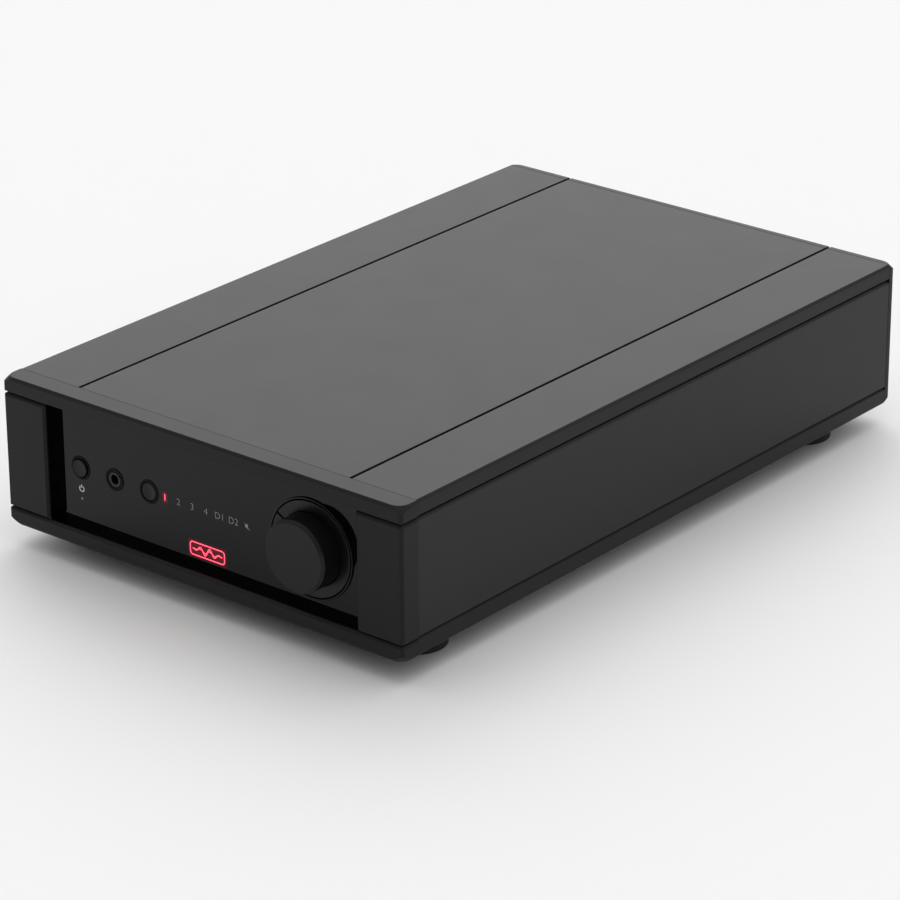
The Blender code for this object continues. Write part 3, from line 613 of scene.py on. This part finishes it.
def volume_control():
    """The knob, the dished skirt with its pointer groove, and the fixed ring round them."""
    xs, (front, back), _ = limits("volume_knob")
    radius = (xs[1] - xs[0]) / 2
    knob = [
        (0, front),
        (radius - 1.25, front),
        (radius - 0.12, front + 1.05),
        (radius, front + 1.4),
        (radius, back),
        (radius - 2.2, back),
        (radius - 2.2, front + 4.0),
        (6.0, front + 4.0),
        (6.0, back),
        (3.05, back),
        (3.05, front + 3.0),
        (0, front + 3.0),
    ]
    piece = turned("knob", knob, VOLUME_AT, steps=SKIRT_STEPS)
    dress(piece, SATIN, "volume", edge=0.08, stands_for=["volume_knob"])

    xs, (face, rear), _ = limits("knob_skirt")
    edge, inner = (xs[1] - xs[0]) / 2, radius + 0.1
    dish = [(edge, face + 0.3), (edge, rear), (inner, rear), (inner, face + 0.5)]
    for i in range(9):
        across = i / 8
        dish.append((inner + 0.3 + across * (edge - inner - 0.9), face + 0.3 * (1 - across) ** 1.5))
    dish.append((edge - 0.3, face))
    skirt = turned("skirt", dish, VOLUME_AT, steps=SKIRT_STEPS)
    groove_x, groove_y = (radius + 0.25, edge + 2), (face - 1, face + 1.3)
    pointer = cuboid("pointer", groove_x, groove_y, (-0.5, 0.5))
    turn = Matrix.Rotation(-POINTER_ANGLE, 4, "Y")
    centre = Matrix.Translation((VOLUME_AT[0] * MM, 0, VOLUME_AT[1] * MM))
    pointer.data.transform(centre @ turn)
    combined(skirt, [pointer])
    dress(skirt, SKIRT, "volume", edge=0.06, stands_for=["knob_skirt"])

    xs, (lip, rear), _ = limits("knob_ring")
    outer = (xs[1] - xs[0]) / 2 - 2.0
    inner = outer - 0.6
    ring = [(inner, lip), (outer - 0.15, lip), (outer, lip + 0.15), (outer, rear - 1.0)]
    ring += [(outer + 2.0, rear - 1.0), (outer + 2.0, rear), (inner, rear)]
    piece = turned("skirt_ring", ring, VOLUME_AT, steps=SKIRT_STEPS)
    dress(piece, RING_METAL, edge=0.05, stands_for=["knob_ring"])


# ---------------------------------------------------------------- buttons and headphone socket
BEZEL_BORE = 4.2


def bezel(name, centre, node_name):
    profile = [
        (5.12, Y_PANEL - BEZEL_PROUD),
        (5.3, Y_PANEL - 0.12),
        (5.3, Y_PANEL - 0.04),
        (4.6, Y_PANEL - 0.04),
        (4.6, Y_PANEL_BACK),
        (BEZEL_BORE, Y_PANEL_BACK),
        (BEZEL_BORE, Y_PANEL - 0.1),
        (BEZEL_BORE + 0.2, Y_PANEL - BEZEL_PROUD),
    ]
    dress(turned(name, profile, centre), DARK_METAL, edge=0.05, stands_for=[node_name])


def button(name, body, centre, node_name, hollow):
    """A dished cap, with its stem behind."""
    xs, (face, end), _ = limits(node_name)
    radius = (xs[1] - xs[0]) / 2
    profile = [(radius * i / 10, face + hollow * (1 - (i / 10) ** 2)) for i in range(10)]
    profile += [(radius - 0.3, face), (radius, face + 0.3), (radius, Y_PANEL_BACK + 0.4)]
    profile += [(1.7, Y_PANEL_BACK + 0.4), (1.7, end), (0, end)]
    dress(turned(name, profile, centre), SATIN, body, edge=0.06, stands_for=[node_name])


def headphone_socket():
    socket = copy_of("headphone_socket", "phones_body")
    dress(socket, DARK_METAL, edge=0.05, stands_for=["headphone_socket"])
    face = limits("headphone_socket")[1][0]
    rim = [
        (4.62, face + 0.14),
        (4.9, face - 0.02),
        (4.98, face + 0.16),
        (4.98, face + 0.26),
        (4.3, face + 0.26),
        (4.1, face + 0.3),
        (4.1, face + 0.12),
    ]
    dress(turned("phones_rim", rim, PHONES_AT), DARK_METAL, edge=0.04)
    sleeve = [
        (2.0, face + 3.0),
        (2.0, face + 0.42),
        (2.25, face + 0.12),
        (3.05, face + 0.02),
        (3.28, face + 0.2),
        (3.28, face + 3.0),
    ]
    dress(turned("phones_sleeve", sleeve, PHONES_AT), SOCKET_METAL, edge=0.05)


# ---------------------------------------------------------------- printed and lit marks
PRINT_DEPTH = 0.03


def on_panel(name, outlines, finish, y=None):
    """Flat marks on the panel's face, from closed (x, z) outlines. Inner outlines are holes."""
    y = Y_PANEL if y is None else y
    curve = bpy.data.curves.new(name, "CURVE")
    curve.dimensions = "2D"
    curve.fill_mode = "BOTH"
    curve.extrude = PRINT_DEPTH / 2 * MM
    for outline in outlines:
        spline = curve.splines.new("POLY")
        spline.points.add(len(outline) - 1)
        spline.use_cyclic_u = True
        for point, (x, z) in zip(spline.points, outline):
            point.co = (x * MM, z * MM, 0.0, 1.0)
    return set_flat(name, curve, (0.0, 0.0), y, finish)


def set_flat(name, curve, at, y, finish, facing=1):
    """A flat curve stood up on a face, as a mesh."""
    drawn = bpy.data.objects.new(name + "_drawn", curve)
    bpy.context.scene.collection.objects.link(drawn)
    bpy.context.view_layer.update()
    graph = bpy.context.evaluated_depsgraph_get()
    mesh = bpy.data.meshes.new_from_object(drawn.evaluated_get(graph))
    bpy.data.objects.remove(drawn, do_unlink=True)
    stand = Matrix.Rotation(math.pi / 2, 4, "X")
    if facing < 0:
        stand = Matrix.Rotation(math.pi, 4, "Z") @ stand
    mesh.transform(Matrix.Translation([value * MM for value in (at[0], y, at[1])]) @ stand)
    made = bpy.data.objects.new(name, mesh)
    bpy.context.scene.collection.objects.link(made)
    return dress(made, finish, edge=0)


def lettering(name, text, at, height, finish, y=None, facing=1):
    curve = bpy.data.curves.new(name, "FONT")
    curve.body = text
    curve.size = height / 0.7 * MM
    curve.align_x = "CENTER"
    curve.align_y = "CENTER"
    curve.extrude = PRINT_DEPTH / 2 * MM
    curve.offset = -0.05 * MM
    curve.space_character = 1.05
    return set_flat(name, curve, at, Y_PANEL if y is None else y, finish, facing)


def stroke(points, width):
    """The closed outline of a line of even width through some points."""
    left, right = [], []
    for i, (x, z) in enumerate(points):
        x0, z0 = points[max(i - 1, 0)]
        x1, z1 = points[min(i + 1, len(points) - 1)]
        length = math.hypot(x1 - x0, z1 - z0)
        nx, nz = -(z1 - z0) / length * width / 2, (x1 - x0) / length * width / 2
        left.append((x + nx, z + nz))
        right.append((x - nx, z - nz))
    return left + right[::-1]


def arc(centre, radius, start, end, steps=24):
    angles = [math.radians(start + (end - start) * i / steps) for i in range(steps + 1)]
    return [(centre[0] + radius * math.cos(a), centre[1] + radius * math.sin(a)) for a in angles]


def front_marks():
    x, z = POWER_AT[0], Z0 + 23.9
    ring = stroke(arc((x, z), 1.25, 122, 418, 36), 0.5)
    power = [ring, stroke([(x, z + 0.3), (x, z + 1.95)], 0.5)]
    on_panel("power_symbol", power, LIGHT_PRINT)
    on_panel("power_dot", [circle((x, Z0 + 19.4), 0.55, 24)], PRINT)

    guide_x = limits("source_light_guide")[0]
    first, z = guide_x[0] + 3.0, Z0 + 33.1
    pitch = (guide_x[1] - 3.0 - first) / 6
    for i, text in enumerate(("1", "2", "3", "4", "D1", "D2")):
        at = (first + pitch * i, z)
        lettering(f"label_{text}", text, at, 3.0, RED_LIGHT if i == 0 else PRINT)
    x = first + pitch * 6
    half = [(-1.2, 0.5), (-0.6, 0.5), (0.3, 1.3)]
    cone = [(x + a, z - b) for a, b in half] + [(x + a, z + b) for a, b in reversed(half)]
    cross = [stroke([(x - 1.3, z + 1.3), (x + 1.3, z - 1.4)], 0.25)]
    on_panel("mute_cone", [cone], PRINT)
    on_panel("mute_bar", cross, PRINT, Y_PANEL - 0.01)
    glowing_mark()
    # Paints a red glow onto the panel round the lit mark and the first label.
    xs, _, zs = limits("mark_light_guide")
    half_size = ((xs[1] - xs[0]) / 2 - 1.4, (zs[1] - zs[0]) / 2 - 1.4)
    mark = ((middle(xs), middle(zs)), half_size)
    lit_panel(mark, ((first, z), (0.2, 1.2)))


def glowing_mark():
    """A plain rounded outline with a wave in it, lit from behind."""
    (x0, x1), _, (z0, z1) = limits("mark_light_guide")
    cx, cz = middle((x0, x1)), middle((z0, z1))
    half_x, half_z = (x1 - x0) / 2 - 1.2, (z1 - z0) / 2 - 1.2
    width, radius = 0.42, 1.6

    def rounded(grow):
        points = []
        corners = ((1, 1, 0), (-1, 1, 90), (-1, -1, 180), (1, -1, 270))
        for sx, sz, start in corners:
            centre = (cx + sx * (half_x - radius), cz + sz * (half_z - radius))
            points += arc(centre, radius + grow, start, start + 90, 8)
        return points

    on_panel("mark_outline", [rounded(0.0), rounded(-width)], RED_LIGHT)
    for i, scale in enumerate((1.0, 0.45)):
        wave = []
        for step in range(41):
            across = step / 20 - 1
            swell = math.cos(across * math.pi / 2) * 1.9 * scale
            height = math.sin(across * math.pi * 3) * swell
            wave.append((cx + across * (half_x - 1.6), cz + height))
        on_panel(f"mark_wave_{i + 1}", [stroke(wave, 0.36)], RED_LIGHT)


# ---------------------------------------------------------------- feet
def cross_recess(name, centre, size, ends):
    """The tool that cuts a cross slot, tapering towards its tip."""
    arms = []
    for swap in (False, True):
        rings = []
        for end, scale in zip(ends, (1.0, 0.45)):
            a, b = size * scale, size * 0.28
            corners = [(-a, -b), (a, -b), (a, b), (-a, b)]
            if swap:
                corners = [(-v, u) for u, v in corners]
            rings.append([(centre[0] + u, centre[1] + v, end) for u, v in corners])
        arms.append(skin(name, rings))
    return arms


def feet():
    for i in range(1, 5):
        xs, ys, (low, high) = limits(f"foot_{i}")
        centre, radius = (middle(xs), middle(ys)), (xs[1] - xs[0]) / 2
        foot = [
            (4.6, low),
            (8.2, low),
            (8.5, low + 0.5),
            (9.1, low + 0.5),
            (9.4, low),
            (radius - 0.8, low),
            (radius - 0.25, low + 0.25),
            (radius, low + 0.8),
            (radius, high - 0.7),
            (radius - 0.4, high - 0.5),
            (radius - 0.4, high),
            (2.2, high),
            (2.2, low + 4.0),
            (4.6, low + 4.0),
        ]
        piece = turned(f"rubber_foot_{i}", foot, centre, "z")
        dress(piece, RUBBER, edge=0.12, stands_for=[f"foot_{i}"])
        low, tip = limits(f"foot_screw_{i}")[2]
        screw = [(0, low), (2.4, low), (3.2, low + 0.25), (3.8, low + 0.9)]
        screw += [(3.9, low + 2.5), (2.0, low + 2.5), (2.0, tip), (0, tip)]
        piece = turned(f"screw_in_foot_{i}", screw, centre, "z", steps=48)
        combined(piece, cross_recess("recess", centre, 1.9, (low - 0.2, low + 1.6)))
        dress(piece, ZINC, edge=0.06, stands_for=[f"foot_screw_{i}"])


# ---------------------------------------------------------------- rear
LABEL_HEIGHT = 3.0
LABEL_ABOVE = 2.6
PHONO_INSET = 7.5


def phono_socket(name, centre, colour):
    """A gold barrel round a white insulator, in a coloured collar."""
    tip = REAR_Y + 9.6
    collar = [(4.3, 0.1), (5.6, 0.1), (5.6, 1.3), (5.2, 1.8), (4.3, 1.8)]
    collar = [(radius, REAR_Y + out) for radius, out in collar]
    dress(turned(name + "_collar", collar, centre, steps=64), colour, edge=0.12)
    barrel = [
        (3.4, REAR_Y + 0.3),
        (4.2, REAR_Y + 0.3),
        (4.2, tip - 0.4),
        (3.95, tip),
        (3.6, tip),
        (3.4, tip - 0.3),
    ]
    dress(turned(name + "_barrel", barrel, centre, steps=64), GOLD, edge=0.06)
    core = [(1.65, REAR_Y - 1.0), (3.36, REAR_Y - 1.0), (3.36, tip - 1.0)]
    core += [(1.9, tip - 0.9), (1.65, tip - 1.2)]
    dress(turned(name + "_core", core, centre, steps=48), WHITE_PLASTIC, edge=0.08)


def input_block(name, node_name):
    """The moulded block behind the rear panel that a group of sockets sits in."""
    xs, ys, zs = limits(node_name)
    body = cuboid(name, xs, (ys[0], limits("rear_panel")[1][0] - 0.1), zs)
    dress(body, MOULDING, edge=0.4, stands_for=[node_name])
    return xs, zs


def rear_label(name, text, x, top):
    at = (x, top + LABEL_ABOVE)
    lettering(name, text, at, LABEL_HEIGHT, REAR_PRINT, REAR_Y, facing=-1)


def line_inputs():
    for i in range(1, 5):
        xs, zs = input_block(f"line_block_{i}", f"line_input_{i}")
        rows = ((zs[0] + PHONO_INSET, RED_PLASTIC), (zs[1] - PHONO_INSET, WHITE_PLASTIC))
        for row, (z, colour) in enumerate(rows):
            phono_socket(f"line_{i}_{row}", (middle(xs), z), colour)
        rear_label(f"line_label_{i}", str(i), middle(xs), zs[1])
    xs, zs = input_block("coaxial_block", "coaxial_input")
    phono_socket("coaxial", (middle(xs), middle(zs)), ORANGE_PLASTIC)
    rear_label("coaxial_label", "D2", middle(xs), zs[1])
    xs, _, zs = limits("optical_input")
    body = copy_of("optical_input", "optical_body")
    dress(body, MOULDING, edge=0.2, stands_for=["optical_input"])
    shutter = copy_of("optical_flap", "optical_shutter")
    dress(shutter, MOULDING, "flap", edge=0.12, stands_for=["optical_flap"])
    rear_label("optical_label", "D1", middle(xs), zs[1] + 0.8)


def mains_inlet():
    housing = copy_of("mains_inlet", "inlet_housing")
    dress(housing, MOULDING, edge=0.3, stands_for=["mains_inlet"])
    drawer = copy_of("fuse_drawer", "fuse_tray")
    dress(drawer, MOULDING, "fuse", edge=0.25, stands_for=["fuse_drawer"])
    xs, _, zs = limits("mains_inlet")
    x, z = middle(xs), zs[1] - 12.5
    for i, (across, up) in enumerate(((-7.0, -2.0), (7.0, -2.0), (0.0, 2.0))):
        span_x, span_z = (x + across - 1.1, x + across + 1.1), (z + up - 2.1, z + up + 2.1)
        blade = cuboid(f"inlet_blade_{i + 1}", span_x, (REAR_Y - 14.4, REAR_Y + 0.8), span_z)
        dress(blade, ZINC, edge=0.5, segments=3)


def speaker_terminals():
    number = 0
    for pair in (1, 2):
        xs, ys, zs = limits(f"speaker_block_{pair}")
        plate_y = (REAR_Y + 0.1, REAR_Y + 2.4)
        plate = cuboid(f"speaker_plate_{pair}", xs, plate_y, zs)
        centres = [(xs[0] + 9.0, middle(zs)), (xs[1] - 9.0, middle(zs))]
        through = (REAR_Y - 2, REAR_Y + 5)
        combined(plate, [rod("hole", 3.1, through, centre) for centre in centres])
        dress(plate, MOULDING, edge=0.5, segments=3, stands_for=[f"speaker_block_{pair}"])
        for centre, colour in zip(centres, (MOULDING, RED_PLASTIC)):
            number += 1
            terminal(f"terminal_{number}", centre, colour, number, ys[0])


def terminal(name, centre, colour, number, rear):
    xs, (base, end), _ = limits(f"speaker_cap_{number}")
    radius = (xs[1] - xs[0]) / 2
    post = [
        (0, rear),
        (3.0, rear),
        (3.0, REAR_Y + 1.0),
        (5.4, REAR_Y + 2.45),
        (5.4, base - 0.1),
        (3.6, base - 0.1),
        (3.6, end - 1.3),
        (2.1, end - 1.3),
        (2.1, base),
        (0, base),
    ]
    dress(turned(name + "_post", post, centre, steps=64), GOLD, edge=0.06)
    cap = [
        (3.75, base),
        (radius - 0.4, base),
        (radius, base + 0.4),
        (radius, end - 1.2),
        (radius - 0.9, end - 0.2),
        (4.9, end - 0.2),
        (4.9, end - 0.5),
        (3.75, end - 0.5),
    ]
    piece = turned(name + "_cap", cap, centre, steps=144, flutes=18, depth=0.45)
    dress(piece, colour, f"cap_{number}", edge=0.08, stands_for=[f"speaker_cap_{number}"])
    sleeve = [(2.6, end - 0.9), (2.8, end), (4.6, end), (4.8, end - 0.2)]
    sleeve += [(4.8, end - 0.45), (3.72, end - 0.45), (3.72, end - 0.9)]
    piece = turned(name + "_sleeve", sleeve, centre, steps=64)
    dress(piece, GOLD, f"cap_{number}", edge=0.05)


def ground_terminal():
    centre = face_centre("ground_post")
    stud = copy_of("ground_post", "ground_stud")
    dress(stud, GOLD, edge=0.08, stands_for=["ground_post"])
    xs, (low, high), _ = limits("ground_nut")
    radius = (xs[1] - xs[0]) / 2
    nut = [
        (2.1, low),
        (radius - 0.8, low),
        (radius - 0.8, low + 1.2),
        (radius, low + 1.5),
        (radius, high - 0.6),
        (radius - 0.5, high),
        (2.1, high),
    ]
    piece = turned("ground_thumb_nut", nut, centre, steps=144, flutes=24, depth=0.3)
    dress(piece, GOLD, "ground", edge=0.06, stands_for=["ground_nut"])


def rear_panel():
    panel = copy_of("rear_panel", "rear_plate")
    dress(panel, REAR_PAINT, edge=0.1, stands_for=["rear_panel"])
    low, high = limits("rear_panel")[2]
    low, high = low + 8, high - 8
    head = [(0, 1.5), (1.6, 1.45), (2.5, 1.0), (2.8, 0.05), (0, 0.05)]
    head = [(radius, REAR_Y + out) for radius, out in head]
    for i, (x, z) in enumerate(((-94, low), (-94, high), (94, low), (94, high), (0, high))):
        piece = turned(f"rear_screw_{i + 1}", head, (x, z), steps=48)
        tools = []
        for a, b in ((1.5, 0.35), (0.35, 1.5)):
            ys = (REAR_Y + 0.6, REAR_Y + 3)
            tools.append(cuboid("slot", (x - a, x + a), ys, (z - b, z + b)))
        combined(piece, tools)
        dress(piece, ZINC, edge=0.05)


# ---------------------------------------------------------------- parts kept as the CAD made them
CARRIED = {
    "pot_shaft": ZINC,
    "volume_pot": ALLOY,
    "pot_nut": ZINC,
    "power_switch": MOULDING,
    "source_switch": MOULDING,
    "mark_light_guide": CLEAR,
    "source_light_guide": CLEAR,
    "power_light_guide": CLEAR,
    "front_board": BOARD,
    "main_board": BOARD,
    "power_transformer": WINDING,
    "transformer_clamp": ZINC,
    "heat_sink": ALLOY,
    "output_device_1": MOULDING,
    "output_device_2": MOULDING,
    "reservoir_capacitor_1": MOULDING,
    "reservoir_capacitor_2": MOULDING,
}


def carried_parts():
    for name, finish in CARRIED.items():
        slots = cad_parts[name].data.materials
        slots.clear()
        slots.append(finish)


# ---------------------------------------------------------------- stage, light and camera
OVERHEAD_POWER = 0.38
OVERHEAD_SPREAD = 60.0
OVERHEAD_TOWARD = Vector((-0.10, 0.20, 0.97))


def overhead_light():
    """A wide, even softbox far away, nearly overhead."""
    light = bpy.data.lights.new("overhead", "SUN")
    light.energy = OVERHEAD_POWER
    light.angle = math.radians(OVERHEAD_SPREAD)
    made = bpy.data.objects.new("overhead", light)
    made.rotation_euler = OVERHEAD_TOWARD.to_track_quat("Z", "Y").to_euler()
    made.location = (0.0, 0.0, 1.5)
    bpy.context.scene.collection.objects.link(made)


SKY = 0.42
SKY_BACKWARD = 0.22
SKY_OVERHEAD = 0.68
SOFTBOX = 1.65
SOFTBOX_TOWARD = (-0.58, 0.70, 0.42)
FLOOR_HALF = 4.0


def sky():
    """Light from all round, stronger overhead and behind, with a broad softbox at the back left."""
    world = bpy.data.worlds.new("studio")
    bpy.context.scene.world = world
    world.use_nodes = True
    tree = world.node_tree
    ray = tree.nodes.new("ShaderNodeTexCoord").outputs["Generated"]
    parts = node(tree, "ShaderNodeSeparateXYZ", Vector=ray).outputs

    def sum_of(first, factor, then):
        made = tree.nodes.new("ShaderNodeMath")
        made.operation = "MULTIPLY_ADD"
        for socket, value in zip(made.inputs, (first, factor, then)):
            if isinstance(value, bpy.types.NodeSocket):
                tree.links.new(value, socket)
            else:
                socket.default_value = value
        return made.outputs[0]

    level = sum_of(parts["Y"], SKY_BACKWARD, SKY)
    overhead = sum_of(parts["Z"], parts["Z"], 0.0)
    level = sum_of(overhead, SKY_OVERHEAD, level)
    facing = node(tree, "ShaderNodeVectorMath", Vector=ray)
    facing.operation = "DOT_PRODUCT"
    facing.inputs[1].default_value = Vector(SOFTBOX_TOWARD).normalized()
    near = facing.outputs["Value"]
    box = node(tree, "ShaderNodeMapRange", Value=near, From_Min=0.79, From_Max=0.97)
    box.interpolation_type = "SMOOTHSTEP"
    level = sum_of(box.outputs[0], SOFTBOX, level)
    tree.links.new(level, tree.nodes["Background"].inputs["Strength"])
    tree.nodes["Background"].inputs["Color"].default_value = (1.0, 1.0, 1.0, 1.0)


def studio():
    shape = bmesh.new()
    bmesh.ops.create_grid(shape, x_segments=1, y_segments=1, size=FLOOR_HALF)
    floor = made_from(shape, "floor")
    pale = (0.90, 0.90, 0.90)
    paper = surface("paper", "case", pale, (0.85, 0.95), grain=1.2, relief=0.004, mottle=0.004)
    floor.data.materials.append(paper)
    sky()
    overhead_light()


CAMERA_AT = Vector((1.00399, -1.22381, 0.70207))
LOOK_AT = Vector((-0.01187, 0.00720, 0.01000))
CAMERA_ROLL = math.radians(-0.31)
CAMERA_LENS = 159.0
CAMERA_SENSOR = 36.0


def camera():
    data = bpy.data.cameras.new("camera")
    data.sensor_width = CAMERA_SENSOR
    data.lens = CAMERA_LENS
    made = bpy.data.objects.new("camera", data)
    back = (CAMERA_AT - LOOK_AT).normalized()
    right = Vector((0, 0, 1)).cross(back).normalized()
    up = back.cross(right)
    turned_right = math.cos(CAMERA_ROLL) * right + math.sin(CAMERA_ROLL) * up
    turned_up = math.cos(CAMERA_ROLL) * up - math.sin(CAMERA_ROLL) * right
    rotation = Matrix((turned_right, turned_up, back)).transposed()
    made.matrix_world = Matrix.Translation(CAMERA_AT) @ rotation.to_4x4()
    bpy.context.scene.collection.objects.link(made)
    bpy.context.scene.camera = made
    bpy.context.scene.view_settings.view_transform = "Standard"


camera()
studio()
front_fascia()
case_shells()
front_panel()
volume_control()
bezel("power_rim", POWER_AT, "power_bezel")
bezel("source_rim", SOURCE_AT, "source_bezel")
button("power_cap", "power", POWER_AT, "power_button", 0.45)
button("source_cap", "source", SOURCE_AT, "source_button", 0.45)
headphone_socket()
front_marks()
feet()
line_inputs()
mains_inlet()
speaker_terminals()
ground_terminal()
rear_panel()
carried_parts()
